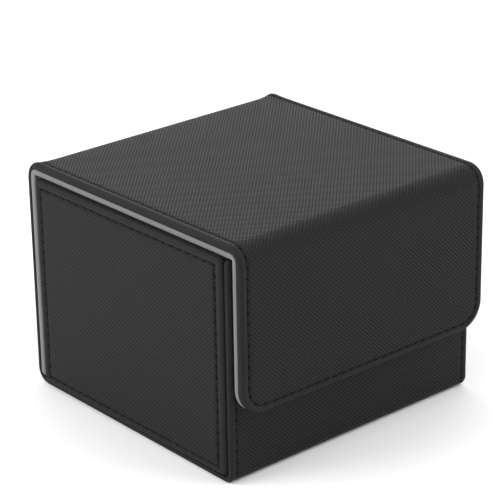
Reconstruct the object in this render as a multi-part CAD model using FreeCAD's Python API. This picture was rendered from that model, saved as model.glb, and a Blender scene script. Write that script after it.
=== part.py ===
"""Card deck box: a stiff leather-look wrap with sewn-in end panels, a hinged lid and a magnetic front flap.

One long wrap of polyurethane leather over board runs up the front, under the floor, up the back, over the top
and down the front again as the flap. It folds like a hinge at the rear and front top edges. Two padded end
panels close the tray, and grey microfibre lines everything that the cards touch.

Frame: millimetres, +X to the right along the front, the front faces -Y, +Z up. The origin is the middle of
the closed box's footprint, on the surface it stands on.
"""
import FreeCAD, Part
import math
import os
from FreeCAD import Vector

# Closed box
HEIGHT = 80.0
FLAP_FACE = -53.7           # outer face of the flap, Y
BACK_FACE = 53.7            # outer face of the back, Y
TRAY_LEFT = -52.7           # side edges of the front and floor, X
TRAY_RIGHT = 51.8
END_PROUD = 0.5             # the end panels stand proud of those edges
COVER_LEFT = -51.7          # the lid, flap and back sit a little to the right of the tray
COVER_RIGHT = 53.2

# Layers
SKIN = 0.8                  # polyurethane leather, also turned over every free edge
TRAY_BOARD = 1.0            # greyboard in the front, floor and back
LID_BOARD = 1.6             # greyboard in the lid and flap
END_BOARD = 1.8             # greyboard in the end panels
COVER_LINING = 2.1          # padded microfibre on the lid, flap and back
TRAY_LINING = 1.4           # microfibre in the tray

# Folds, outer radii
FRONT_TOP_FOLD = 6.5
REAR_TOP_FOLD = 6.8
FRONT_FLOOR_FOLD = 3.6
REAR_FLOOR_FOLD = 5.0
LINING_FOLD = 2.5           # where the lining turns inside a top fold
LINING_CREASE = 0.4         # its inner crease

# Clearances and edges
MOVING_GAP = 0.3            # between the tray and the closed lid or flap
END_GROOVE = 0.5            # round the edge of an end panel
END_REAR_EDGE = 47.9        # rear edge of an end panel, Y
END_CORNER = 2.0            # corner radius of an end panel
FLAP_BOTTOM = 24.0          # lower edge of the flap, Z
FLAP_CORNER = 9.0           # radius of its two lower corners
FRONT_TOP_EDGE = 74.9       # top of the front panel, Z

# Sewing
THREAD_WIDTH = 0.6
THREAD_DEPTH = 0.3
COVER_MARGIN = 2.4          # seam to the edge of the front, floor, back, lid and flap
FLAP_MARGIN = 2.8           # seam to the side edges of the flap, which the lid's seams run towards
END_SEAM = (-42.9, 44.7, 4.4, 72.5)     # seam on an end panel: Y low, Y high, Z low, Z high
END_SEAM_CORNER = 2.0

# Hidden magnets, one pair facing another
MAGNET_RADIUS = 5.0
MAGNET_X = (-26.0, 26.0)
MAGNET_Z = FLAP_BOTTOM + 9.7
MAGNET_SLACK = 0.05
FLAP_MAGNET_DEPTH = 1.2
TRAY_MAGNET_DEPTH = TRAY_BOARD

# Worked out
TRAY_WALL = SKIN + TRAY_BOARD
LID_WALL = SKIN + LID_BOARD
END_WALL = SKIN + END_BOARD
END_LEFT = TRAY_LEFT - END_PROUD
END_RIGHT = TRAY_RIGHT + END_PROUD
LID_DEPTH = LID_WALL + COVER_LINING
FLAP_INNER = FLAP_FACE + LID_DEPTH
TRAY_FRONT = FLAP_INNER + MOVING_GAP
FRONT_INNER = TRAY_FRONT + TRAY_WALL
LID_UNDERSIDE = HEIGHT - LID_DEPTH
END_TOP = LID_UNDERSIDE - MOVING_GAP
FLAP_TOP = HEIGHT - FRONT_TOP_FOLD
LID_FRONT = FLAP_FACE + FRONT_TOP_FOLD
LID_REAR = BACK_FACE - REAR_TOP_FOLD
BACK_TOP = HEIGHT - REAR_TOP_FOLD
BACK_BOARD_FACE = BACK_FACE - TRAY_WALL
BACK_INNER = BACK_BOARD_FACE - COVER_LINING
FLOOR_FRONT = TRAY_FRONT + FRONT_FLOOR_FOLD
FLOOR_REAR = BACK_FACE - REAR_FLOOR_FOLD
FLOOR_TOP = TRAY_WALL + TRAY_LINING
END_FRONT_EDGE = FRONT_INNER + END_GROOVE
END_BOTTOM = TRAY_WALL + 0.8 * END_GROOVE


def box(x0, x1, y0, y1, z0, z1):
    return Part.makeBox(x1 - x0, y1 - y0, z1 - z0, Vector(x0, y0, z0))


def profile(points):
    """A closed YZ outline. A pair is a straight run's end; four numbers are an arc's middle and end."""
    start = points[0]
    here = start
    edges = []
    for step in points[1:] + [start]:
        if len(step) == 2:
            end = step
            edges.append(Part.LineSegment(Vector(0, *here), Vector(0, *end)).toShape())
        else:
            end = step[2:]
            edges.append(Part.Arc(Vector(0, *here), Vector(0, *step[:2]), Vector(0, *end)).toShape())
        here = end
    return Part.Face(Part.Wire(edges))


def across(face, x0, x1):
    """A YZ face drawn out along X."""
    face = face.copy()
    face.translate(Vector(x0, 0, 0))
    return face.extrude(Vector(x1 - x0, 0, 0))


def arc_to(centre, radius, middle_deg, end_deg):
    """An arc step for profile(): its middle and its end, as angles about a centre."""
    middle = math.radians(middle_deg)
    end = math.radians(end_deg)
    return (centre[0] + radius * math.cos(middle), centre[1] + radius * math.sin(middle),
            centre[0] + radius * math.cos(end), centre[1] + radius * math.sin(end))


def rounded_plate(low, high, radius, corners, plane):
    """A flat face from low to high with some corners rounded; plane maps two numbers to a point."""
    (u0, v0), (u1, v1) = low, high
    turns = [(u0, v0, 1, 1, 180), (u1, v0, -1, 1, 270), (u1, v1, -1, -1, 0), (u0, v1, 1, -1, 90)]
    edges = []
    stops = []
    for index, (u, v, du, dv, start) in enumerate(turns):
        if index in corners:
            centre = (u + du * radius, v + dv * radius)
            angles = [math.radians(start + part) for part in (0, 45, 90)]
            arc = [plane(centre[0] + radius * math.cos(a), centre[1] + radius * math.sin(a)) for a in angles]
            stops.append((arc[0], arc[2], arc))
        else:
            point = plane(u, v)
            stops.append((point, point, None))
    for index, (_, leave, arc) in enumerate(stops):
        if arc:
            edges.append(Part.Arc(*arc).toShape())
        arrive = stops[(index + 1) % len(stops)][0]
        edges.append(Part.LineSegment(leave, arrive).toShape())
    return Part.Face(Part.Wire(edges))


def end_plate(x0, x1, inset):
    """An end panel's rounded rectangle, set in from its edge, between two X planes."""
    low = (END_FRONT_EDGE + inset, END_BOTTOM + inset)
    high = (END_REAR_EDGE - inset, END_TOP - inset)
    face = rounded_plate(low, high, END_CORNER - 0.5 * inset, (0, 1, 2, 3), lambda u, v: Vector(x0, u, v))
    return face.extrude(Vector(x1 - x0, 0, 0))


def flap_plate(y0, y1, side_inset, foot_inset):
    """The flap's outline with its lower corners rounded, set in from its free edges, between two Y planes."""
    low = (COVER_LEFT + side_inset, FLAP_BOTTOM + foot_inset)
    high = (COVER_RIGHT - side_inset, FLAP_TOP)
    face = rounded_plate(low, high, FLAP_CORNER - side_inset, (0, 1), lambda u, v: Vector(u, y0, v))
    return face.extrude(Vector(0, y1 - y0, 0))


def slanting_plate(front, rear, z0, z1):
    """A flat plate between two Y lines; front and rear each give Y and the two X ends of their line."""
    (y0, left0, right0), (y1, left1, right1) = front, rear
    corners = [Vector(left0, y0, z0), Vector(right0, y0, z0), Vector(right1, y1, z0), Vector(left1, y1, z0)]
    return Part.Face(Part.makePolygon(corners + corners[:1])).extrude(Vector(0, 0, z1 - z0))


def floor_plate(inset, z0, z1):
    """The floor's outline: its sides run from the tray's width at the front to the cover's at the rear."""
    front = (FLOOR_FRONT, TRAY_LEFT + inset, TRAY_RIGHT - inset)
    rear = (FLOOR_REAR, COVER_LEFT + inset, COVER_RIGHT - inset)
    return slanting_plate(front, rear, z0, z1)


def magnet_discs(y0, y1, radius):
    """A pair of discs that face along Y."""
    discs = [Part.makeCylinder(radius, y1 - y0, Vector(x, y0, MAGNET_Z), Vector(0, 1, 0)) for x in MAGNET_X]
    return Part.makeCompound(discs)


def front_panel():
    """Skin, board and magnets of the tray's front, with the fold into the floor."""
    centre = (FLOOR_FRONT, FRONT_FLOOR_FOLD)
    inner = FRONT_FLOOR_FOLD - TRAY_WALL
    outline = profile([(TRAY_FRONT, FRONT_TOP_EDGE), (TRAY_FRONT, FRONT_FLOOR_FOLD),
                       arc_to(centre, FRONT_FLOOR_FOLD, 225, 270), (FLOOR_FRONT, TRAY_WALL),
                       arc_to(centre, inner, 225, 180), (FRONT_INNER, FRONT_TOP_EDGE)])
    board = box(TRAY_LEFT + SKIN, TRAY_RIGHT - SKIN, TRAY_FRONT + SKIN, FRONT_INNER,
                FRONT_FLOOR_FOLD, FRONT_TOP_EDGE - SKIN)
    skin = across(outline, TRAY_LEFT, TRAY_RIGHT).cut(board)
    magnet_y = FRONT_INNER - TRAY_MAGNET_DEPTH
    pockets = magnet_discs(magnet_y, FRONT_INNER, MAGNET_RADIUS + MAGNET_SLACK)
    magnets = magnet_discs(magnet_y, FRONT_INNER, MAGNET_RADIUS)
    return skin, board.cut(pockets), magnets


def floor_panel():
    board = floor_plate(SKIN, SKIN, TRAY_WALL)
    return floor_plate(0, 0, TRAY_WALL).cut(board), board


def back_panel():
    """Skin, board and padded lining of the back, with the fold up from the floor."""
    centre = (FLOOR_REAR, REAR_FLOOR_FOLD)
    inner = REAR_FLOOR_FOLD - TRAY_WALL
    outline = profile([(FLOOR_REAR, 0), arc_to(centre, REAR_FLOOR_FOLD, 315, 360), (BACK_FACE, BACK_TOP),
                       (BACK_BOARD_FACE, BACK_TOP), (BACK_BOARD_FACE, REAR_FLOOR_FOLD),
                       arc_to(centre, inner, 315, 270)])
    board = box(COVER_LEFT + SKIN, COVER_RIGHT - SKIN, BACK_BOARD_FACE, BACK_FACE - SKIN,
                REAR_FLOOR_FOLD, BACK_TOP)
    skin = across(outline, COVER_LEFT, COVER_RIGHT).cut(board)
    foot_angle = math.degrees(math.acos((BACK_INNER - FLOOR_REAR) / inner))
    foot_z = REAR_FLOOR_FOLD - inner * math.sin(math.radians(foot_angle))
    lining = profile([(BACK_INNER, BACK_TOP), (BACK_INNER, foot_z),
                      arc_to(centre, inner, 360 - 0.5 * foot_angle, 360), (BACK_BOARD_FACE, BACK_TOP)])
    return skin, board, across(lining, COVER_LEFT, COVER_RIGHT)


def end_flange(x0, x1):
    """Strips of skin that join an end panel's front, foot and rear edges to the wrap, at its inner face."""
    top = END_TOP - LINING_CREASE
    front = box(x0, x1, FRONT_INNER, END_FRONT_EDGE + END_CORNER, FRONT_FLOOR_FOLD, top)
    foot = box(x0, x1, FLOOR_FRONT, FLOOR_REAR - END_CORNER, TRAY_WALL, END_BOTTOM)
    rear = box(x0, x1, END_REAR_EDGE - END_CORNER, BACK_INNER, REAR_FLOOR_FOLD, top)
    return [front, foot, rear]


def end_panel(outer, inner):
    """Skin, board and lining of one end; outer and inner are the X planes of its faces."""
    way = 1 if inner > outer else -1
    board = end_plate(outer + way * SKIN, inner, SKIN)
    flange = end_flange(*sorted((inner - way * SKIN, inner)))
    skin = end_plate(outer, inner, 0).fuse(flange).cut(board)
    low, high = sorted((inner, inner + way * TRAY_LINING))
    lining = box(low, high, FRONT_INNER + TRAY_LINING, BACK_INNER, FLOOR_TOP, END_TOP - LINING_CREASE)
    return skin, board, lining


def tray_linings():
    """The microfibre on the floor and on the inside of the front, between the end panels."""
    left = END_LEFT + END_WALL
    right = END_RIGHT - END_WALL
    floor = box(left, right, FLOOR_FRONT, BACK_INNER, TRAY_WALL, FLOOR_TOP)
    front = box(left, right, FRONT_INNER, FRONT_INNER + TRAY_LINING, FRONT_FLOOR_FOLD, FRONT_TOP_EDGE)
    return floor, front


def lid():
    """Skin, board and padded lining of the lid, between the two top folds."""
    skin_side = (HEIGHT - SKIN, HEIGHT - LID_WALL)
    board = box(COVER_LEFT + SKIN, COVER_RIGHT - SKIN, LID_FRONT, LID_REAR, skin_side[1], skin_side[0])
    skin = box(COVER_LEFT, COVER_RIGHT, LID_FRONT, LID_REAR, skin_side[1], HEIGHT).cut(board)
    lining = box(COVER_LEFT, COVER_RIGHT, LID_FRONT, LID_REAR, LID_UNDERSIDE, skin_side[1])
    return skin, board, lining


def flap():
    """Skin, board, padded lining and magnets of the front flap."""
    board_face = FLAP_FACE + LID_WALL
    board = flap_plate(FLAP_FACE + SKIN, board_face, SKIN, SKIN)
    skin = flap_plate(FLAP_FACE, board_face, 0, 0).cut(board)
    lining = flap_plate(board_face, FLAP_INNER, 0, 0)
    magnet_y = board_face - FLAP_MAGNET_DEPTH
    pockets = magnet_discs(magnet_y, board_face, MAGNET_RADIUS + MAGNET_SLACK)
    magnets = magnet_discs(magnet_y, board_face, MAGNET_RADIUS)
    return skin, board.cut(pockets), lining, magnets


def top_fold(face, way, radius, wall):
    """Skin and lining of a top fold; face is the wall's outer Y plane and way points from it into the box."""
    def at(depth, height):
        return (face + way * depth, height)

    def corner(reach, inset_side, inset_top):
        """A 90 degree arc step from the upright side to the top one."""
        centre = at(inset_side + reach, HEIGHT - inset_top - reach)
        start = 180 if way > 0 else 0
        turn = -45 if way > 0 else 45
        return arc_to(centre, reach, start + turn, start + 2 * turn)

    foot = HEIGHT - radius
    lining = wall + COVER_LINING
    skin_face = profile([at(0, foot), corner(radius, 0, 0), at(radius, HEIGHT - LID_WALL),
                         at(wall + LINING_FOLD, HEIGHT - LID_WALL),
                         reverse_corner(at, way, LINING_FOLD, wall, LID_WALL), at(wall, foot)])
    lining_face = profile([at(wall, foot), at(wall, HEIGHT - LID_WALL - LINING_FOLD),
                           corner(LINING_FOLD, wall, LID_WALL), at(radius, HEIGHT - LID_WALL),
                           at(radius, LID_UNDERSIDE), at(lining + LINING_CREASE, LID_UNDERSIDE),
                           reverse_corner(at, way, LINING_CREASE, lining, LID_DEPTH), at(lining, foot)])
    return (across(skin_face, COVER_LEFT, COVER_RIGHT), across(lining_face, COVER_LEFT, COVER_RIGHT))


def reverse_corner(at, way, reach, inset_side, inset_top):
    """A 90 degree arc step from the top side back down to the upright one."""
    centre = at(inset_side + reach, HEIGHT - inset_top - reach)
    start = 90
    turn = 45 if way > 0 else -45
    return arc_to(centre, reach, start + turn, start + 2 * turn)


def end_seam(face_x, way):
    """A closed seam on an end panel, sunk into its skin; way points from the face into the panel."""
    half = 0.5 * THREAD_WIDTH
    y0, y1, z0, z1 = END_SEAM
    depth = Vector(way * THREAD_DEPTH, 0, 0)
    plates = []
    for grow in (half, -half):
        face = rounded_plate((y0 - grow, z0 - grow), (y1 + grow, z1 + grow), END_SEAM_CORNER + grow,
                             (0, 1, 2, 3), lambda u, v: Vector(face_x, u, v))
        plates.append(face.extrude(depth))
    return plates[0].cut(plates[1])


def slanting_seam(front, rear, z0):
    """A row of thread from one (Y, X) place to another, sunk into an upper or lower face."""
    half = 0.5 * THREAD_WIDTH
    (y0, x0), (y1, x1) = front, rear
    return slanting_plate((y0, x0 - half, x0 + half), (y1, x1 - half, x1 + half), z0, z0 + THREAD_DEPTH)


def wrap_seams():
    """A row along the top of the front, two down it, two under the floor and two up the back."""
    half = 0.5 * THREAD_WIDTH
    top = FRONT_TOP_EDGE - COVER_MARGIN
    rows = [box(TRAY_LEFT + COVER_MARGIN - half, TRAY_RIGHT - COVER_MARGIN + half,
                TRAY_FRONT, TRAY_FRONT + THREAD_DEPTH, top - half, top + half)]
    for edge, rear_edge, way in ((TRAY_LEFT, COVER_LEFT, 1), (TRAY_RIGHT, COVER_RIGHT, -1)):
        x = edge + way * COVER_MARGIN
        rear_x = rear_edge + way * COVER_MARGIN
        rows.append(box(x - half, x + half, TRAY_FRONT, TRAY_FRONT + THREAD_DEPTH,
                        FRONT_FLOOR_FOLD, top - half))
        rows.append(slanting_seam((FLOOR_FRONT, x), (FLOOR_REAR, rear_x), 0))
        rows.append(box(rear_x - half, rear_x + half, BACK_FACE - THREAD_DEPTH, BACK_FACE,
                        REAR_FLOOR_FOLD, BACK_TOP))
    return Part.makeCompound(rows)


def lid_seams():
    """A row along each side of the lid, a little further in at the front."""
    rows = []
    for edge, way in ((COVER_LEFT, 1), (COVER_RIGHT, -1)):
        front = (LID_FRONT, edge + way * FLAP_MARGIN)
        rear = (LID_REAR, edge + way * COVER_MARGIN)
        rows.append(slanting_seam(front, rear, HEIGHT - THREAD_DEPTH))
    return Part.makeCompound(rows)


def flap_seam():
    """One seam down a side of the flap, round its lower corners and up the other side."""
    half = 0.5 * THREAD_WIDTH
    plates = [flap_plate(FLAP_FACE, FLAP_FACE + THREAD_DEPTH, FLAP_MARGIN + grow, COVER_MARGIN + grow)
              for grow in (-half, half)]
    return plates[0].cut(plates[1])


def build():
    """Every sub-part by name."""
    parts = {}
    parts["front_skin"], parts["front_board"], parts["tray_magnets"] = front_panel()
    parts["floor_skin"], parts["floor_board"] = floor_panel()
    parts["back_skin"], parts["back_board"], parts["back_lining"] = back_panel()
    floor_lining, parts["front_lining"] = tray_linings()
    parts["floor_lining"] = floor_lining.cut(parts["back_skin"])
    for side, outer, inner, way in (("left", END_LEFT, END_LEFT + END_WALL, 1),
                                    ("right", END_RIGHT, END_RIGHT - END_WALL, -1)):
        skin, parts[side + "_end_board"], parts[side + "_end_lining"] = end_panel(outer, inner)
        parts[side + "_end_thread"] = end_seam(outer, way)
        parts[side + "_end_skin"] = skin.cut(parts[side + "_end_thread"])
    parts["rear_fold_skin"], parts["rear_fold_lining"] = top_fold(BACK_FACE, -1, REAR_TOP_FOLD, TRAY_WALL)
    parts["lid_skin"], parts["lid_board"], parts["lid_lining"] = lid()
    parts["front_fold_skin"], parts["front_fold_lining"] = top_fold(FLAP_FACE, 1, FRONT_TOP_FOLD, LID_WALL)
    parts["flap_skin"], parts["flap_board"], parts["flap_lining"], parts["flap_magnets"] = flap()
    parts["tray_thread"] = wrap_seams()
    parts["lid_thread"] = lid_seams()
    parts["flap_thread"] = flap_seam()
    for thread, skins in (("tray_thread", ("front_skin", "floor_skin", "back_skin")),
                          ("lid_thread", ("lid_skin",)), ("flap_thread", ("flap_skin",))):
        for skin in skins:
            parts[skin] = parts[skin].cut(parts[thread])
    return parts


os.makedirs("parts", exist_ok=True)
for name, shape in build().items():
    shape.exportStep("parts/" + name + ".step")
    print(name, len(shape.Solids), round(shape.Volume, 1), shape.isValid())
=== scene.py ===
"""Looks of the card deck box: leather-look wrap, padded end panels, grey microfibre and sewn seams.

Metres in Blender; the sizes below are in millimetres. The outer wrap is one long sheet that is described
unrolled: u runs across it along X, v runs along it from the top of the front, under the floor, up the back,
over the top and down the flap, and n is the height above its outer face.
"""
import math
import bmesh
import bpy
from mathutils import Matrix, Vector


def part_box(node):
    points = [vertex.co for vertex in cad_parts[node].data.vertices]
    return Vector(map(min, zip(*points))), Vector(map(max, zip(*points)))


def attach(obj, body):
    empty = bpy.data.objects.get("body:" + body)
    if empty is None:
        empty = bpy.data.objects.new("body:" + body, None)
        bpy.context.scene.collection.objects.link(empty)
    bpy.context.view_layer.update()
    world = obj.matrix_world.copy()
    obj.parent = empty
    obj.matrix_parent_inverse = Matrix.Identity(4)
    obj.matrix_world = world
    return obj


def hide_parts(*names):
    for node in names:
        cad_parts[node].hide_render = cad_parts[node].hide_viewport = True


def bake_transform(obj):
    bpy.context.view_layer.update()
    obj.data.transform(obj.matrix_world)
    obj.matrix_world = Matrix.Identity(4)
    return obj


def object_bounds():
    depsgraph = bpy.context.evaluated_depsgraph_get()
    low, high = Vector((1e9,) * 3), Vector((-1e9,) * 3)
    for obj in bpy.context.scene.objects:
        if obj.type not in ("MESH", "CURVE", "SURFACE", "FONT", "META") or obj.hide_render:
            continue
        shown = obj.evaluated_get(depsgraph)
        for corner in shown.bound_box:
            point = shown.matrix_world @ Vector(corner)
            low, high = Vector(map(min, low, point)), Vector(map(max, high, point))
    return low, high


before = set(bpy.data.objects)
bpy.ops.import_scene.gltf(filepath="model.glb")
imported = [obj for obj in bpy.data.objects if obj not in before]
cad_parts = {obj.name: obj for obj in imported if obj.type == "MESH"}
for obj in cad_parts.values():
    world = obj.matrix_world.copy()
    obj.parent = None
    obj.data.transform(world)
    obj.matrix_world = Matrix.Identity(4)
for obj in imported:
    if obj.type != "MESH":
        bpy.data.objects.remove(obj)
cad_box = [list(corner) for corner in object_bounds()]

MM = 0.001

# Camera, about the middle of the box
CAMERA_YAW = 40.78          # degrees
CAMERA_PITCH = 22.48
CAMERA_ROLL = 0.93
CAMERA_OFFSET = (-1.36, -8.7, -730.7)    # along its own right, down and forward directions
CAMERA_LENS = 158.2

# Layers and seams
SKIN = 0.8                  # leather look, turned over every free edge
SEAM = 2.4                  # seam to edge, except beside the flap and on the end panels
STITCH = 3.65               # seam hole to seam hole
STEPS = 4                   # mesh rows in a stitch
GROOVE_REACH = 0.5          # the seam's groove, to each side of the seam
GROOVE_SHADE = 0.12          # painted shade along the seam's groove between needle holes, as a share of the painted shade in a hole
HOLE_DEPTH = 0.36           # needle hole below the groove
HOLE_HALF = 0.17            # half a hole's length, as a part of a stitch
THREAD_HALF = 0.3           # half a CAD seam's width
THREAD_RADIUS = 0.22
THREAD_REST = -0.22         # a stitch's middle, above the skin's face
THREAD_DIVE = 0.5           # its ends, below its middle
THREAD_SECTION = (1.12, 0.9)    # a stitch is a little wider than it is high
THREAD_TAPER = 0.35         # how much thinner a stitch is at its ends
STITCH_STATIONS = 10        # mesh rings along a stitch
STITCH_SIDES = 8            # mesh sides round it
TWIST_STEP = 0.3            # the thread's twist, from one ring to the next
LINING_EDGE = 0.2           # the lining's edge, in from the skin's
BEAD = 1.0                  # the edge's round, up to the bead's crest
GRID_START = 4.8            # how far in from an edge a sheet's surface turns flat
GRID_CLEARANCE = 0.4        # from the flat surface to the first row along a side
CORNER_CLEARANCE = 0.8      # from a round corner to the first row along a side
JOIN_REACH = 8.0            # the lid's skin is cut this far from the rear fold

# Turned-over edges at the rear fold
SWELL_PLACE = 0.62          # how far through the fold they are thickest
SWELL_ALONG = 4.5           # how far they reach along the wrap
SWELL_ACROSS = 4.0          # how far they reach in from its sides
SWELL_RISE = 0.75
SWELL_SAG = 0.25            # how far the fold sags between them

# Emboss of the leather look
WEAVE_PITCH = 1.034
WEAVE_PRESSED = 0.72        # the share of its depth that is pressed flat along the edges


def size(node):
    """A CAD node's lowest and highest corners in millimetres."""
    low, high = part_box(node)
    return low / MM, high / MM


FRONT_LOW, FRONT_HIGH = size("front_skin")
FLOOR_LOW, FLOOR_HIGH = size("floor_skin")
BACK_HIGH = size("back_skin")[1]
LID_LOW, LID_HIGH = size("lid_skin")
FLAP_LOW, FLAP_HIGH = size("flap_skin")
BACK_LINING_LOW, BACK_LINING_HIGH = size("back_lining")
LID_LINING_LOW, LID_LINING_HIGH = size("lid_lining")
FLAP_LINING_LOW = size("flap_lining")[0]

TRAY_WALL = FLOOR_HIGH.z
LID_WALL = LID_HIGH.z - LID_LOW.z
COVER_LINING = LID_LINING_HIGH.z - LID_LINING_LOW.z
END_LOW, END_HIGH = size("left_end_skin")
END_WALL = END_HIGH.x - END_LOW.x
FLAP_SEAM = size("flap_thread")[0].x + THREAD_HALF - FLAP_LOW.x    # seam to edge beside the flap
FRONT_FLOOR_FOLD = FLOOR_LOW.y - FRONT_LOW.y
REAR_FLOOR_FOLD = BACK_HIGH.y - FLOOR_HIGH.y
REAR_TOP_FOLD = BACK_HIGH.y - LID_HIGH.y
FRONT_TOP_FOLD = LID_LOW.y - FLAP_LOW.y
LINING_FOLD = 2.5           # where the lining turns inside a top fold
FLAP_CORNER = 9.0
FRONT_CORNER = 1.4          # at the top of the tray's front
END_CORNER = 2.0            # of the end panels
LINING_CORNER = 1.0         # of the tray's linings
LEAST_CORNER = 0.35         # of the lines inside a sheet's edge
TOP_FLANGE = 0.05           # an end panel has no flange at its top
END_IRONED = 0.5            # how far the emboss of the end panels is pressed flat


class Path:
    """A line in the YZ plane made of straight runs and left turns, with its outer side on the right."""

    def __init__(self, y, z, heading):
        self.at_end = (y, z, math.radians(heading))
        self.pieces = []
        self.marks = [0.0]

    def add(self, length, radius):
        y, z, heading = self.at_end
        self.pieces.append((self.marks[-1], y, z, heading, length, radius))
        self.marks.append(self.marks[-1] + length)
        self.at_end = self.locate(self.marks[-1])[:3]
        return self

    def run(self, length):
        return self.add(length, None)

    def turn(self, radius):
        return self.add(0.5 * math.pi * radius, radius)

    def locate(self, v):
        """Place and heading at a length along the path, and how far through its turn that is, from 0 to 1."""
        chosen = self.pieces[0]
        for piece in self.pieces:
            if piece[0] <= v:
                chosen = piece
        start, y, z, heading, length, radius = chosen
        along = v - start
        if radius is None:
            return y + along * math.cos(heading), z + along * math.sin(heading), heading, 0.0
        centre_y = y - radius * math.sin(heading)
        centre_z = z + radius * math.cos(heading)
        heading += along / radius
        y = centre_y + radius * math.sin(heading)
        z = centre_z - radius * math.cos(heading)
        return y, z, heading, along / length


def lerp(a, b, t):
    return a + (b - a) * t


def smooth(t):
    t = min(max(t, 0.0), 1.0)
    return t * t * (3.0 - 2.0 * t)


WRAP = Path(FRONT_LOW.y, FRONT_HIGH.z, -90)
WRAP.run(FRONT_HIGH.z - FRONT_FLOOR_FOLD).turn(FRONT_FLOOR_FOLD).run(FLOOR_HIGH.y - FLOOR_LOW.y)
WRAP.turn(REAR_FLOOR_FOLD).run(BACK_HIGH.z - REAR_FLOOR_FOLD).turn(REAR_TOP_FOLD)
WRAP.run(LID_HIGH.y - LID_LOW.y).turn(FRONT_TOP_FOLD).run(FLAP_HIGH.z - FLAP_LOW.z)
(V_START, V_FLOOR_FOLD, V_FLOOR, V_REAR_FLOOR_FOLD, V_BACK,
 V_REAR_FOLD, V_LID, V_FRONT_FOLD, V_FLAP, V_END) = WRAP.marks


def wrap_edge(v, front, rear):
    """Where a side edge of the wrap is: skewed along the floor, and straight before and after it."""
    return lerp(front, rear, min(max((v - V_FLOOR) / (V_REAR_FLOOR_FOLD - V_FLOOR), 0.0), 1.0))


def wrap_left(v):
    return wrap_edge(v, FRONT_LOW.x, LID_LOW.x)


def wrap_right(v):
    return wrap_edge(v, FRONT_HIGH.x, LID_HIGH.x)


def wrap_margin(v):
    """Seam to side edge: the seams draw in along the lid, towards the flap."""
    drawn_in = min(max((v - V_LID) / (V_FRONT_FOLD - V_LID), 0.0), 1.0)
    return lerp(SEAM, FLAP_SEAM, drawn_in)


def fold_depth(turned, radius, wall):
    """Skin and board between a top fold's outer face and the lining, which turns more sharply."""
    angle = abs(turned - 0.5) * 0.5 * math.pi
    reach = radius - wall
    short = reach - LINING_FOLD
    aslant = 0.25 * math.pi - angle
    if reach * math.tan(aslant) < short:
        return radius - reach / math.cos(aslant)
    shift = short * math.sqrt(2.0)
    swing = math.asin(shift * math.sin(angle) / LINING_FOLD)
    return radius - shift * math.cos(angle) - LINING_FOLD * math.cos(swing)


def wrap_depth(v):
    """Thickness of skin and board at a place along the wrap."""
    turned = WRAP.locate(v)[3]
    if V_REAR_FOLD < v < V_LID:
        return fold_depth(turned, REAR_TOP_FOLD, lerp(TRAY_WALL, LID_WALL, turned))
    if V_FRONT_FOLD < v < V_FLAP:
        return fold_depth(turned, FRONT_TOP_FOLD, LID_WALL)
    return LID_WALL if v >= V_LID else TRAY_WALL


def wrap_swell(u, v):
    """The turned-over edges are thick: the rear fold stands proud at its two ends and sags between them."""
    middle = lerp(V_REAR_FOLD, V_LID, SWELL_PLACE)
    along = math.exp(-((v - middle) / SWELL_ALONG) ** 2)
    edge = min(u - wrap_left(v), wrap_right(v) - u)
    return along * (SWELL_RISE * math.exp(-(edge / SWELL_ACROSS) ** 2) - SWELL_SAG)


def on_wrap(u, v, n):
    """Places a point of the wrap; its weight presses what is under the floor flat."""
    y, z, heading, _ = WRAP.locate(v)
    depth = wrap_depth(v)
    height = n * depth / LID_WALL if n < 0 else n
    height += wrap_swell(u, v) * (1.0 + max(n, -LID_WALL) / LID_WALL)
    return Vector((u, y + height * math.sin(heading), max(z - height * math.cos(heading), 0.0)))


# Profiles: (distance in from the free edge, height above the outer face), from the inner face to the outer

def sewn_profile(thickness, foot):
    """A sewn skin: its flange (foot), free edge, the bead beside it, the seam's groove and the flat."""
    inner = [(SKIN, -SKIN), (SKIN, -thickness)]
    edge = [(0.0, 0.2 - thickness), (0.0, -1.0), (0.08, -0.62), (0.27, -0.32), (0.55, -0.1)]
    bead = [(0.9, 0.04), (1.3, 0.07), (1.7, 0.02), (2.02, -0.14)]
    groove = [(2.22, -0.32), (SEAM, -0.38), (2.58, -0.32), (2.8, -0.18), (3.1, -0.07), (3.6, -0.02)]
    return inner + foot + edge + bead + groove + [(GRID_START, 0.0)]


WRAP_PROFILE = sewn_profile(LID_WALL, [(0.2, -LID_WALL)])
END_PROFILE = sewn_profile(END_WALL, [(-1.0, -END_WALL), (-1.0, 0.5 - END_WALL), (0.0, 0.45 - END_WALL)])


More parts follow.
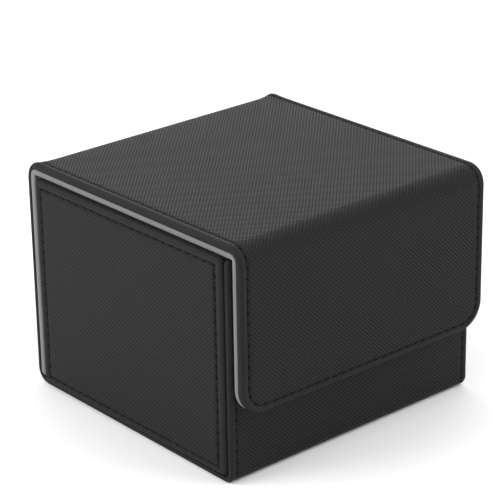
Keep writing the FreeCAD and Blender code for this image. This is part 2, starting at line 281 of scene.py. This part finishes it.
class Outline:
    """A sheet's free edges and seam, unrolled. Its sides are functions of v; an end with a corner is free.

    Its edges go in the order left, right, start, end. Each has a margin from edge to seam, which may be a
    function of v, and a flange, which is how far its foot reaches out.
    """

    def __init__(self, left, right, v0, v1, marks, start_corner=None, end_corner=None, margins=(SEAM,) * 4,
                 flange=(1.0,) * 4, ironed=0.0):
        self.left = left
        self.right = right
        self.v0 = v0
        self.v1 = v1
        self.start_corner = start_corner
        self.end_corner = end_corner
        self.margins = margins
        self.flange = flange
        self.ironed = ironed
        reach = max(self.inset(side, GRID_START, v1) for side in range(4)) + GRID_CLEARANCE
        first = v0 + (max(start_corner + CORNER_CLEARANCE, reach) if start_corner else 0.0)
        last = v1 - (max(end_corner + CORNER_CLEARANCE, reach) if end_corner else 0.0)
        stops = [first] + [mark for mark in marks if first < mark < last] + [last]
        self.sides = [first]
        for low, high in zip(stops, stops[1:]):
            count = STEPS * max(1, round((high - low) / STITCH))
            self.sides += [lerp(low, high, i / count) for i in range(1, count + 1)]
        width = right(v0) - left(v0) - 2.0 * max(self.largest_corner(), reach)
        self.columns = STEPS * round(width / STITCH)
        self.corner_rows = STEPS * (3 if self.largest_corner() > reach else 2)

    def inset(self, side, d, v, flange=(1.0,) * 4):
        """How far in a line is from one edge: true at the edge and beyond the seam, in proportion between."""
        if d < BEAD:
            return d * (flange[side] if d < 0.0 else 1.0)
        margin = self.margins[side]
        if callable(margin):
            margin = margin(v)
        return lerp(BEAD, margin, (d - BEAD) / (SEAM - BEAD)) if d < SEAM else margin + d - SEAM

    def ring(self, d, flange=(1.0,) * 4):
        """The (left, right) pairs of points of the line at distance d, from the first row to the last."""
        rows = []
        for v in self.sides:
            left = self.left(v) + self.inset(0, d, v, flange)
            right = self.right(v) - self.inset(1, d, v, flange)
            rows.append(((left, v), (right, v)))
        if self.start_corner:
            edge = self.v0 + self.inset(2, d, self.v0, flange)
            rows = self.corner(rows[0], edge, self.start_corner - d, -1)[::-1] + rows
        if self.end_corner:
            edge = self.v1 - self.inset(3, d, self.v1, flange)
            rows += self.corner(rows[-1], edge, self.end_corner - d, 1)
        return rows

    def largest_corner(self):
        return max(self.start_corner or 0.0, self.end_corner or 0.0)

    def corner(self, row, v_edge, radius, way):
        """Rows round a corner, beyond a side row; way is the direction along v. A flange's are square."""
        (left, v), (right, _) = row
        radius = LEAST_CORNER if radius > self.largest_corner() else max(radius, LEAST_CORNER)
        turn_v = v_edge - way * radius
        rows = [((left, lerp(v, turn_v, t)), (right, lerp(v, turn_v, t))) for t in (0.5, 1.0)]
        count = self.corner_rows - len(rows)
        for i in range(1, count + 1):
            angle = 0.5 * math.pi * i / count
            across = radius * (1.0 - math.cos(angle))
            along = turn_v + way * radius * math.sin(angle)
            rows.append(((left + across, along), (right - across, along)))
        return rows


def unrolled_distances(profile):
    """How far each line of a profile is from the edge when the sheet is laid flat, negative once past it."""
    distances = [profile[-1][0]]
    for (d0, n0), (d1, n1) in zip(profile[-2::-1], profile[:0:-1]):
        distances.append(distances[-1] - math.hypot(d1 - d0, n1 - n0))
    return distances[::-1]


def sheet_mesh(name, outline, profile, place):
    """A closed mesh of a sewn sheet: lines parallel to its free edges, joined by a grid on each face."""
    points = []
    flat = []
    marks = {"hole": [], "pressed": []}
    columns = outline.columns
    rings = []
    for number, ((d, n), unrolled) in enumerate(zip(profile, unrolled_distances(profile))):
        grid = number in (0, len(profile) - 1)
        groove = max(0.0, 1.0 - abs(d - SEAM) / GROOVE_REACH)
        press = max(1.0 - smooth((d - SEAM) / 0.7), outline.ironed)
        rows = outline.ring(d, outline.flange)
        cloth_rows = outline.ring(unrolled)
        ring = []
        for i, ((left, right), (cloth_left, cloth_right)) in enumerate(zip(rows, cloth_rows)):
            end_run = (i == 0 and outline.start_corner) or (i == len(rows) - 1 and outline.end_corner)
            row = []
            for j in range(columns + 1):
                if 0 < j < columns and not (grid or end_run):
                    row.append(None)
                    continue
                along = j if end_run and 0 < j < columns else i
                pit = groove if along % STEPS == 0 else 0.0
                t = j / columns
                point = place(lerp(left[0], right[0], t), lerp(left[1], right[1], t), n - HOLE_DEPTH * pit)
                row.append(len(points))
                points.append(point * MM)
                flat.append((lerp(cloth_left[0], cloth_right[0], t), lerp(cloth_left[1], cloth_right[1], t)))
                # painted shade: full in the needle holes, and a share of it along the seam's groove
                marks["hole"].append(max(pit, GROOVE_SHADE * groove))
                marks["pressed"].append(press)
            ring.append(row)
        rings.append(ring)

    faces = []
    last = len(rings[0]) - 1
    for inner, outer in zip(rings, rings[1:]):
        for side in (0, columns):
            faces += [(inner[i][side], inner[i + 1][side], outer[i + 1][side], outer[i][side])
                      for i in range(last)]
        for row, free in ((0, outline.start_corner), (last, outline.end_corner)):
            if free:
                faces += [(inner[row][j], inner[row][j + 1], outer[row][j + 1], outer[row][j])
                          for j in range(columns)]
    for ring in (rings[0], rings[-1]):
        faces += [(ring[i][j], ring[i + 1][j], ring[i + 1][j + 1], ring[i][j + 1])
                  for i in range(last) for j in range(columns)]
    sharp = []
    for row, free in ((0, outline.start_corner), (last, outline.end_corner)):
        if not free:
            loop = [ring[row][0] for ring in rings] + rings[-1][row][1:-1]
            loop += [ring[row][-1] for ring in rings[::-1]] + rings[0][row][-2:0:-1]
            faces.append(tuple(loop))
            sharp += list(zip(loop, loop[1:] + loop[:1]))
    return make_object(name, points, faces, flat, marks, sharp)


def make_object(name, points, faces, flat, marks=None, sharp=()):
    """A smooth-shaded object with its unrolled millimetres as a UV map; marks are attributes by name."""
    mesh = bpy.data.meshes.new(name)
    mesh.from_pydata(points, [], faces)
    work = bmesh.new()
    work.from_mesh(mesh)
    bmesh.ops.recalc_face_normals(work, faces=work.faces)
    work.to_mesh(mesh)
    work.free()
    layer = mesh.uv_layers.new(name="unrolled")
    for loop in mesh.loops:
        layer.data[loop.index].uv = flat[loop.vertex_index]
    for key, values in (marks or {}).items():
        mesh.attributes.new(key, "FLOAT", "POINT").data.foreach_set("value", values)
    mesh.shade_smooth()
    if sharp:
        wanted = {tuple(sorted(pair)) for pair in sharp}
        creases = mesh.attributes.new("sharp_edge", "BOOLEAN", "EDGE")
        creases.data.foreach_set("value", [tuple(sorted(edge.vertices)) in wanted for edge in mesh.edges])
    made = bpy.data.objects.new(name, mesh)
    bpy.context.scene.collection.objects.link(made)
    return made


def seam_lines(outline):
    """The runs of a seam, STEPS points to a stitch: down each side and across the free ends."""
    rows = outline.ring(SEAM)
    lines = [[row[0] for row in rows], [row[1] for row in rows]]
    for row, free in ((rows[0], outline.start_corner), (rows[-1], outline.end_corner)):
        if free:
            (u0, v0), (u1, v1) = row
            parts = [j / outline.columns for j in range(outline.columns + 1)]
            lines.append([(lerp(u0, u1, t), lerp(v0, v1, t)) for t in parts])
    return lines


def stitch_centre(line, start, place):
    """A stitch's middle line, from one hole to the next: pairs of a point and one just above it."""
    centre = []
    for k in range(STITCH_STATIONS + 1):
        t = k / STITCH_STATIONS
        where = start + STEPS * lerp(HOLE_HALF, 1.0 - HOLE_HALF, t)
        low = min(int(where), len(line) - 2)
        u = lerp(line[low][0], line[low + 1][0], where - low)
        v = lerp(line[low][1], line[low + 1][1], where - low)
        n = THREAD_REST - THREAD_DIVE * (2.0 * t - 1.0) ** 4
        centre.append((place(u, v, n), place(u, v, n + 0.1)))
    return centre


def stitch_rings(centre):
    """Rings of points round a stitch's middle line, thinner towards its ends."""
    wide, high = THREAD_SECTION
    rings = []
    for k, (point, above) in enumerate(centre):
        ahead = centre[min(k + 1, STITCH_STATIONS)][0] - centre[max(k - 1, 0)][0]
        side = ahead.cross(above - point).normalized()
        up = side.cross(ahead).normalized()
        thick = THREAD_RADIUS * (1.0 - THREAD_TAPER * (2.0 * k / STITCH_STATIONS - 1.0) ** 6)
        angles = [2.0 * math.pi * a / STITCH_SIDES for a in range(STITCH_SIDES)]
        rings.append([point + (side * wide * math.cos(angle) + up * high * math.sin(angle)) * thick
                      for angle in angles])
    return rings


def stitch_faces(base):
    """The faces between a stitch's rings and over its two ends; base is its first point's number."""
    faces = []
    for k in range(STITCH_STATIONS):
        low = base + k * STITCH_SIDES
        for a in range(STITCH_SIDES):
            b = (a + 1) % STITCH_SIDES
            faces.append((low + a, low + b, low + STITCH_SIDES + b, low + STITCH_SIDES + a))
    for cap in (base, base + STITCH_STATIONS * STITCH_SIDES):
        faces.append(tuple(cap + a for a in range(STITCH_SIDES)))
    return faces


def stitches(name, outline, place):
    """Thread from hole to hole: each stitch dives into the skin at both ends."""
    points = []
    flat = []
    faces = []
    for line in seam_lines(outline):
        for start in range(0, len(line) - 1, STEPS):
            faces += stitch_faces(len(points))
            for k, ring in enumerate(stitch_rings(stitch_centre(line, start, place))):
                points += [point * MM for point in ring]
                flat += [(a / STITCH_SIDES, TWIST_STEP * k) for a in range(STITCH_SIDES)]
    return make_object(name, points, faces, flat)


# ---- Materials ----

class Nodes:
    """A material's node tree, with short ways to add and join its nodes."""

    def __init__(self, name):
        self.material = bpy.data.materials.new(name)
        self.material.use_nodes = True
        self.tree = self.material.node_tree
        self.shader = self.tree.nodes["Principled BSDF"]

    def feed(self, socket, source):
        """Links a socket to another node's output, or sets it to a value."""
        if hasattr(source, "is_output"):
            self.tree.links.new(source, socket)
        else:
            socket.default_value = source

    def add(self, kind, links=(), **values):
        node = self.tree.nodes.new(kind)
        for key, value in values.items():
            setattr(node, key, value)
        for socket, source in dict(links).items():
            self.feed(node.inputs[socket], source)
        return node

    def math(self, operation, a, b=0.0, c=0.0):
        return self.add("ShaderNodeMath", {0: a, 1: b, 2: c}, operation=operation).outputs[0]

    def noise(self, vector, scale, detail=2.0, roughness=0.5):
        links = {"Vector": vector, "Scale": scale, "Detail": detail, "Roughness": roughness}
        return self.add("ShaderNodeTexNoise", links).outputs["Fac"]

    def ramp(self, factor, low, high, at=(0.0, 1.0)):
        node = self.add("ShaderNodeValToRGB", {"Fac": factor})
        for stop, colour, position in zip(node.color_ramp.elements, (low, high), at):
            stop.color = (*colour, 1.0)
            stop.position = position
        return node.outputs["Color"]

    def mix(self, factor, a, b):
        links = {0: factor, 6: a, 7: b}
        return self.add("ShaderNodeMix", links, data_type="RGBA", blend_type="MIX").outputs[2]

    def set(self, socket, source):
        self.feed(self.shader.inputs[socket], source)

    def bump(self, height, distance, strength=1.0, normal=None):
        links = {"Height": height, "Distance": distance, "Strength": strength}
        if normal:
            links["Normal"] = normal
        return self.add("ShaderNodeBump", links).outputs["Normal"]


def grey(value):
    return (value, value, value)


def leather_look():
    """Black polyurethane leather: a cross-hatch emboss at 45 degrees with painted shade in its grooves, fine
    grain, edges with the emboss pressed flat, and painted shade in the seams' needle holes and grooves.
    """
    nodes = Nodes("black_leather_look")
    unrolled = nodes.add("ShaderNodeUVMap", uv_map="unrolled").outputs["UV"]
    split = nodes.add("ShaderNodeSeparateXYZ", {0: unrolled})
    place = nodes.add("ShaderNodeTexCoord").outputs["Object"]
    wander = nodes.math("MULTIPLY", nodes.noise(place, 90.0, 2.0), 1.4)
    turns = 2.0 * math.pi / (WEAVE_PITCH * math.sqrt(2.0))
    ridges = []
    for operation in ("ADD", "SUBTRACT"):
        diagonal = nodes.math(operation, split.outputs["X"], split.outputs["Y"])
        phase = nodes.math("ADD", nodes.math("MULTIPLY", diagonal, turns), wander)
        ridges.append(nodes.math("MULTIPLY_ADD", nodes.math("SINE", phase), 0.5, 0.5))
    falling = nodes.math("POWER", ridges[0], 0.5)
    rising = nodes.math("POWER", ridges[1], 0.75)
    crossed = nodes.math("MULTIPLY", falling, rising)
    pressed = nodes.add("ShaderNodeAttribute", attribute_name="pressed").outputs["Fac"]
    flatness = nodes.math("MULTIPLY", pressed, WEAVE_PRESSED)
    level = nodes.math("MULTIPLY", flatness, 0.5)
    emboss = nodes.math("MULTIPLY_ADD", crossed, nodes.math("SUBTRACT", 1.0, flatness), level)
    hole = nodes.add("ShaderNodeAttribute", attribute_name="hole").outputs["Fac"]
    grain = nodes.noise(place, 3200.0, 3.0, 0.6)
    patches = nodes.noise(place, 28.0, 3.0, 0.55)
    # painted shade: the emboss's grooves are painted darker than its crests, so the pressed-flat edges come
    # out lighter
    tone = nodes.mix(emboss, (0.004, 0.004, 0.0042, 1.0), (0.018, 0.0175, 0.0175, 1.0))
    tone = nodes.mix(nodes.math("MULTIPLY", patches, 0.5), tone, (0.020, 0.0195, 0.0195, 1.0))
    # painted shade: the needle holes and the seams' grooves are painted near black; the same mark also
    # roughens them
    tone = nodes.mix(nodes.math("MULTIPLY", hole, 1.5), tone, (0.0008, 0.0008, 0.0008, 1.0))
    nodes.set("Base Color", tone)
    rough = nodes.math("ADD", nodes.math("MULTIPLY", grain, 0.1), nodes.math("MULTIPLY", patches, 0.1))
    rough = nodes.math("SUBTRACT", nodes.math("ADD", rough, 0.68), nodes.math("MULTIPLY", emboss, 0.42))
    rough = nodes.math("ADD", rough, nodes.math("MULTIPLY", hole, 0.4))
    nodes.set("Roughness", rough)
    nodes.set("Specular IOR Level", 0.14)
    fine = nodes.bump(grain, 0.00002, 0.5)
    nodes.set("Normal", nodes.bump(emboss, 0.00018, 1.0, fine))
    return nodes.material


def microfibre():
    """Grey brushed microfibre: a short soft nap in drifting directions."""
    nodes = Nodes("grey_microfibre")
    place = nodes.add("ShaderNodeTexCoord").outputs["Object"]
    nap = nodes.noise(place, 2600.0, 4.0, 0.7)
    tufts = nodes.noise(place, 700.0, 3.0, 0.6)
    patches = nodes.noise(place, 45.0, 3.0, 0.6)
    tone = nodes.ramp(nap, (0.118, 0.116, 0.112), (0.222, 0.218, 0.210), (0.25, 0.75))
    tone = nodes.mix(nodes.math("MULTIPLY", patches, 0.45), tone, (0.190, 0.186, 0.179, 1.0))
    nodes.set("Base Color", tone)
    nodes.set("Roughness", nodes.math("ADD", nodes.math("MULTIPLY", nap, 0.1), 0.86))
    nodes.set("Specular IOR Level", 0.15)
    nodes.set("Sheen Weight", 0.35)
    nodes.set("Sheen Roughness", 0.5)
    soft = nodes.bump(tufts, 0.00016, 0.7)
    nodes.set("Normal", nodes.bump(nap, 0.00006, 0.8, soft))
    return nodes.material


def sewing_thread():
    """Black polyester thread, with its twist as slanting ridges."""
    nodes = Nodes("black_thread")
    unrolled = nodes.add("ShaderNodeUVMap", uv_map="unrolled").outputs["UV"]
    split = nodes.add("ShaderNodeSeparateXYZ", {0: unrolled})
    place = nodes.add("ShaderNodeTexCoord").outputs["Object"]
    twist = nodes.math("ADD", nodes.math("MULTIPLY", split.outputs["X"], 2.0 * math.pi),
                       nodes.math("MULTIPLY", split.outputs["Y"], 9.0))
    ridges = nodes.math("SINE", twist)
    fibres = nodes.noise(place, 5000.0, 3.0)
    nodes.set("Base Color", nodes.ramp(fibres, (0.006, 0.006, 0.0061), (0.018, 0.018, 0.0184), (0.3, 0.7)))
    nodes.set("Roughness", nodes.math("ADD", nodes.math("MULTIPLY", fibres, 0.2), 0.6))
    nodes.set("Specular IOR Level", 0.15)
    nodes.set("Normal", nodes.bump(ridges, 0.00006, 0.8, nodes.bump(fibres, 0.00003, 0.5)))
    return nodes.material


def greyboard():
    """Recycled board: speckled grey-brown pulp with a fibrous face."""
    nodes = Nodes("pulp_greyboard")
    place = nodes.add("ShaderNodeTexCoord").outputs["Object"]
    pulp = nodes.noise(place, 900.0, 5.0, 0.65)
    flecks = nodes.noise(place, 2400.0, 2.0)
    tone = nodes.ramp(pulp, (0.22, 0.20, 0.17), (0.38, 0.35, 0.30), (0.3, 0.7))
    dark = nodes.ramp(flecks, grey(0.0), grey(1.0), (0.66, 0.72))
    nodes.set("Base Color", nodes.mix(nodes.math("MULTIPLY", dark, 0.6), tone, (0.07, 0.06, 0.05, 1.0)))
    nodes.set("Roughness", nodes.math("ADD", nodes.math("MULTIPLY", pulp, 0.1), 0.82))
    nodes.set("Normal", nodes.bump(pulp, 0.00008, 0.8))
    return nodes.material


def nickel_plate():
    """Nickel-plated magnet: satin, with fine tumbling marks."""
    nodes = Nodes("satin_nickel")
    place = nodes.add("ShaderNodeTexCoord").outputs["Object"]
    marks = nodes.noise(place, 1500.0, 4.0, 0.7)
    nodes.set("Base Color", nodes.ramp(marks, (0.55, 0.53, 0.49), (0.72, 0.70, 0.66)))
    nodes.set("Metallic", 1.0)
    nodes.set("Roughness", nodes.math("ADD", nodes.math("MULTIPLY", marks, 0.2), 0.18))
    nodes.set("Normal", nodes.bump(marks, 0.00001, 0.5))
    return nodes.material


LEATHER = leather_look()
MICROFIBRE = microfibre()
THREAD = sewing_thread()
GREYBOARD = greyboard()
NICKEL = nickel_plate()


def finish_piece(piece, material, nodes, body=None, bend=None):
    """Gives a piece its material and slot and hides the CAD nodes it stands for; a piece on one body is
    parented to that body's empty, and one that bends only has its transform baked into its mesh.
    """
    piece.data.materials.append(material)
    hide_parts(*nodes)
    if bend:
        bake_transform(piece)
    else:
        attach(piece, body)
    return piece


def point_m(y, z):
    return (0.0, y * MM, z * MM)


REAR_BEND = ("tray", "lid", point_m(BACK_HIGH.y, BACK_HIGH.z), point_m(LID_HIGH.y, LID_HIGH.z))
FRONT_BEND = ("lid", "flap", point_m(LID_LOW.y, LID_HIGH.z), point_m(FLAP_LOW.y, FLAP_HIGH.z))


# ---- The wrap ----

V_CUT = V_LID + JOIN_REACH
WRAP_MARGINS = (wrap_margin, wrap_margin, SEAM, SEAM)

tray_outline = Outline(wrap_left, wrap_right, V_START, V_REAR_FOLD,
                       (V_FLOOR_FOLD, V_FLOOR, V_REAR_FLOOR_FOLD, V_BACK), start_corner=FRONT_CORNER)
rear_outline = Outline(wrap_left, wrap_right, V_REAR_FOLD, V_CUT, (V_LID,), margins=WRAP_MARGINS)
cover_outline = Outline(wrap_left, wrap_right, V_CUT, V_END, (V_FRONT_FOLD, V_FLAP), end_corner=FLAP_CORNER,
                        margins=WRAP_MARGINS)

finish_piece(sheet_mesh("tray_wrap", tray_outline, WRAP_PROFILE, on_wrap), LEATHER,
             ("front_skin", "floor_skin", "back_skin"), body="tray")
finish_piece(sheet_mesh("rear_fold_wrap", rear_outline, WRAP_PROFILE, on_wrap), LEATHER,
             ("rear_fold_skin",), bend=REAR_BEND)
finish_piece(sheet_mesh("cover_wrap", cover_outline, WRAP_PROFILE, on_wrap), LEATHER,
             ("lid_skin", "front_fold_skin", "flap_skin"), bend=FRONT_BEND)

finish_piece(stitches("tray_stitches", tray_outline, on_wrap), THREAD,
             ("tray_thread",), body="tray")
finish_piece(stitches("rear_fold_stitches", rear_outline, on_wrap), THREAD,
             (), bend=REAR_BEND)
finish_piece(stitches("cover_stitches", cover_outline, on_wrap), THREAD,
             ("lid_thread", "flap_thread"), bend=FRONT_BEND)


# ---- Linings ----

def lining_profile(thickness):
    """Across a lining's edge, from its hidden face to the one that shows."""
    return [(0.9, 0.0), (0.12, 0.0), (0.0, -0.12), (0.0, -0.55 * thickness), (0.1, -0.8 * thickness),
            (0.35, -0.95 * thickness), (0.8, -thickness)]


COVER_PATH = Path(BACK_LINING_HIGH.y, BACK_LINING_LOW.z, 90)
COVER_PATH.run(LID_LINING_HIGH.z - LINING_FOLD - BACK_LINING_LOW.z).turn(LINING_FOLD)
COVER_PATH.run(BACK_LINING_HIGH.y - FLAP_LINING_LOW.y - 2.0 * LINING_FOLD).turn(LINING_FOLD)
COVER_PATH.run(LID_LINING_HIGH.z - LINING_FOLD - FLAP_LINING_LOW.z)
(L_START, L_REAR_FOLD, L_LID, L_FRONT_FOLD, L_FLAP, L_END) = COVER_PATH.marks


def on_cover_lining(u, v, n):
    y, z, heading, _ = COVER_PATH.locate(v)
    return Vector((u, y + n * math.sin(heading), z - n * math.cos(heading)))


def lining_left(_):
    return LID_LOW.x + LINING_EDGE


def lining_right(_):
    return LID_HIGH.x - LINING_EDGE


L_BACK_TOP = L_START + BACK_LINING_HIGH.z - BACK_LINING_LOW.z
L_CUT = L_LID + (BACK_LINING_HIGH.y - LINING_FOLD - LID_HIGH.y) + JOIN_REACH

back_lining_outline = Outline(lining_left, lining_right, L_START, L_BACK_TOP, (), start_corner=1.5)
rear_lining_outline = Outline(lining_left, lining_right, L_BACK_TOP, L_CUT, (L_REAR_FOLD, L_LID))
cover_lining_outline = Outline(lining_left, lining_right, L_CUT, L_END, (L_FRONT_FOLD, L_FLAP),
                               end_corner=FLAP_CORNER - LINING_EDGE)

COVER_LINING_PROFILE = lining_profile(COVER_LINING)
finish_piece(sheet_mesh("back_padding", back_lining_outline, COVER_LINING_PROFILE, on_cover_lining),
             MICROFIBRE, ("back_lining",), body="tray")
finish_piece(sheet_mesh("rear_fold_padding", rear_lining_outline, COVER_LINING_PROFILE, on_cover_lining),
             MICROFIBRE, ("rear_fold_lining",), bend=REAR_BEND)
finish_piece(sheet_mesh("cover_padding", cover_lining_outline, COVER_LINING_PROFILE, on_cover_lining),
             MICROFIBRE, ("lid_lining", "front_fold_lining", "flap_lining"), bend=FRONT_BEND)


def panel_place(origin, u_axis, v_axis, n_axis):
    """A place() for a flat piece: u, v and n along three directions from an origin."""
    origin, u_axis, v_axis, n_axis = (Vector(item) for item in (origin, u_axis, v_axis, n_axis))
    return lambda u, v, n: origin + u_axis * u + v_axis * v + n_axis * n


def flat_outline(width, height, corner, **kinds):
    return Outline(lambda v: 0.0, lambda v: width, 0.0, height, (), start_corner=corner, end_corner=corner,
                   **kinds)


def tray_padding(node, u_axis, v_axis, n_axis):
    """A flat lining of the tray; n_axis points into the tray, away from the face it is glued to."""
    low, high = size(node)
    width, height, thickness = (abs(Vector(axis).dot(high - low)) for axis in (u_axis, v_axis, n_axis))
    axes = Vector(u_axis) + Vector(v_axis) + Vector(n_axis)
    origin = [low[i] if axes[i] > 0 else high[i] for i in range(3)]
    profile = [(d, -n) for d, n in lining_profile(thickness)]
    made = sheet_mesh(node.replace("lining", "padding"), flat_outline(width, height, LINING_CORNER), profile,
                      panel_place(origin, u_axis, v_axis, n_axis))
    return finish_piece(made, MICROFIBRE, (node,), body="tray")


tray_padding("floor_lining", (0, 1, 0), (-1, 0, 0), (0, 0, 1))
tray_padding("front_lining", (-1, 0, 0), (0, 0, 1), (0, 1, 0))
tray_padding("left_end_lining", (0, 1, 0), (0, 0, 1), (1, 0, 0))
tray_padding("right_end_lining", (0, -1, 0), (0, 0, 1), (-1, 0, 0))


# ---- End panels ----

def end_panel(side, way):
    """An end panel's skin and its stitches; way is the direction that its outer face looks along X."""
    board_low, board_high = size(side + "_end_board")
    skin_low, skin_high = size(side + "_end_skin")
    seam_low, seam_high = size(side + "_end_thread")
    front, rear = board_low.y - SKIN, board_high.y + SKIN
    foot, top = board_low.z - SKIN, board_high.z + SKIN
    front_side = (seam_low.y + THREAD_HALF - front, front - skin_low.y)
    rear_side = (rear - seam_high.y + THREAD_HALF, skin_high.y - rear)
    start_side, far_side = (front_side, rear_side) if way > 0 else (rear_side, front_side)
    margins = (start_side[0], far_side[0], seam_low.z + THREAD_HALF - foot, top - seam_high.z + THREAD_HALF)
    flange = (start_side[1], far_side[1], foot - skin_low.z, TOP_FLANGE)
    origin = (skin_high.x, front, foot) if way > 0 else (skin_low.x, rear, foot)
    place = panel_place(origin, (0, way, 0), (0, 0, 1), (way, 0, 0))
    outline = flat_outline(rear - front, top - foot, END_CORNER, margins=margins, flange=flange,
                           ironed=END_IRONED)
    skin = sheet_mesh(side + "_end_panel", outline, END_PROFILE, place)
    finish_piece(skin, LEATHER, (side + "_end_skin",), body="tray")
    sewn = stitches(side + "_end_stitches", outline, place)
    finish_piece(sewn, THREAD, (side + "_end_thread",), body="tray")


end_panel("left", -1)
end_panel("right", 1)


# ---- CAD nodes that stay ----

for node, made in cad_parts.items():
    if node.endswith("_board") or node.endswith("_magnets"):
        material = GREYBOARD if node.endswith("_board") else NICKEL
        made.data.materials.clear()
        made.data.materials.append(material)


# ---- Studio ----

def floor_grid(name, half):
    """A flat square grid on the ground, out to half its width in metres each way."""
    count = 8
    ticks = [lerp(-half, half, i / count) for i in range(count + 1)]
    points = [(x, y, 0.0) for y in ticks for x in ticks]
    faces = []
    for j in range(count):
        for i in range(count):
            near = j * len(ticks) + i
            far = near + len(ticks)
            faces.append((near, near + 1, far + 1, far))
    return make_object(name, points, faces, [(x, y) for x, y, _ in points])


def studio_floor():
    floor = floor_grid("studio_floor", 6.0)
    nodes = Nodes("pale_floor")
    place = nodes.add("ShaderNodeTexCoord").outputs["Object"]
    nodes.set("Base Color", nodes.ramp(nodes.noise(place, 3.0), grey(0.94), grey(0.96)))
    nodes.set("Roughness", 0.9)
    nodes.set("Specular IOR Level", 0.1)
    floor.data.materials.append(nodes.material)


def softbox(name, yaw, pitch, distance, width, power):
    """A square area light that looks at the box; yaw is the direction it shines in, as the camera's is."""
    light = bpy.data.lights.new(name, "AREA")
    light.shape = "SQUARE"
    light.size = width
    light.energy = power
    lamp = bpy.data.objects.new(name, light)
    toward = aim(yaw, pitch)
    lamp.location = centre - toward * distance
    lamp.rotation_euler = toward.to_track_quat("-Z", "Y").to_euler()
    bpy.context.scene.collection.objects.link(lamp)


def aim(yaw, pitch):
    yaw, pitch = math.radians(yaw), math.radians(pitch)
    return Vector((math.sin(yaw) * math.cos(pitch), math.cos(yaw) * math.cos(pitch), -math.sin(pitch)))


def studio_camera():
    toward = aim(CAMERA_YAW, CAMERA_PITCH)
    level = toward.cross(Vector((0, 0, 1))).normalized()
    plumb = toward.cross(level)
    roll = math.radians(CAMERA_ROLL)
    right = level * math.cos(roll) + plumb * math.sin(roll)
    down = plumb * math.cos(roll) - level * math.sin(roll)
    side, rise, back = (value * MM for value in CAMERA_OFFSET)
    camera = bpy.data.objects.new("camera", bpy.data.cameras.new("camera"))
    camera.data.lens = CAMERA_LENS
    turn = Matrix((right, -down, -toward)).transposed().to_4x4()
    camera.matrix_world = Matrix.Translation(centre + right * side + down * rise + toward * back) @ turn
    bpy.context.scene.collection.objects.link(camera)
    bpy.context.scene.camera = camera


low, high = (Vector(corner) for corner in cad_box)
centre = (low + high) * 0.5
studio_camera()
studio_floor()
softbox("camera_left_box", CAMERA_YAW + 82, 38, 1.1, 0.8, 8.5)
softbox("camera_right_box", CAMERA_YAW - 82, 38, 1.1, 0.8, 6.0)
softbox("back_box", CAMERA_YAW + 180, 20, 1.6, 1.8, 14.0)
softbox("overhead_box", CAMERA_YAW, 80, 1.3, 1.2, 4.0)

world = bpy.data.worlds.new("soft_white")
world.use_nodes = True
world.node_tree.nodes["Background"].inputs["Color"].default_value = (1.0, 1.0, 1.0, 1.0)
world.node_tree.nodes["Background"].inputs["Strength"].default_value = 0.62
bpy.context.scene.world = world
bpy.context.scene.view_settings.view_transform = "Standard"
